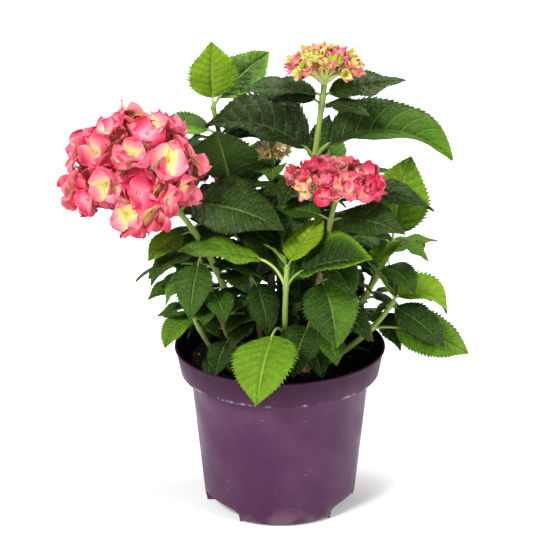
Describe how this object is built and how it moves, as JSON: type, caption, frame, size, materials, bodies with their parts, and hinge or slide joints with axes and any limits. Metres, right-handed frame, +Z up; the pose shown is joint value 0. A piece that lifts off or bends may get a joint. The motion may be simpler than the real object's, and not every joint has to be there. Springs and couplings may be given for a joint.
{
  "type": "potted hydrangea shrub",
  "caption": "Leafy hydrangea shrub with mophead blooms, growing as a clump of stems in a round plastic nursery pot.",
  "frame": {"origin": "middle of the pot's flat underside", "axes": "+Z up along the pot's axis, +X to the plant's right seen from its front, which faces -Y"},
  "size_m": [0.4271, 0.3082, 0.5119],
  "materials": {
    "pot": "satin dark purple injection-moulded polypropylene with scuffs and soil dust",
    "potting_soil": "moist crumbly peat compost",
    "stem": "smooth green shoots, brown and woody at the foot",
    "leaves": "satin toothed leaves with sunken veins, dark green, younger ones lime",
    "bloom": "thin matt sepals, pink to crimson with cream bases",
    "bud_bloom": "young sepals and buds, yellow-green to pink",
    "dried_bloom": "dry papery sepals, cream to tan"
  },
  "bodies": {
    "root": {"pot": "pot", "potting_soil": "potting_soil", "stem_left": "stem", "leaves_left": "leaves", "stem_top": "stem", "leaves_top": "leaves", "stem_middle": "stem", "leaves_middle": "leaves", "stem_front": "stem", "leaves_front": "leaves", "stem_right_low": "stem", "leaves_right_low": "leaves", "stem_right_tall": "stem", "leaves_right_tall": "leaves", "stem_back_left": "stem", "leaves_back_left": "leaves", "stem_left_side": "stem", "leaves_left_side": "leaves", "stem_left_low": "stem", "leaves_left_low": "leaves", "stem_front_inner": "stem", "leaves_front_inner": "leaves", "stem_dried": "stem", "leaves_dried": "leaves", "stem_back": "stem", "leaves_back": "leaves", "stem_back_right": "stem", "leaves_back_right": "leaves", "stem_back_low": "stem", "leaves_back_low": "leaves", "stem_back_left_low": "stem", "leaves_back_left_low": "leaves", "stem_back_right_low": "stem", "leaves_back_right_low": "leaves", "bloom_left": "bloom", "bloom_top": "bud_bloom", "bloom_middle": "bloom", "bloom_dried": "dried_bloom", "bloom_back": "bloom"}
  },
  "joints": []
}
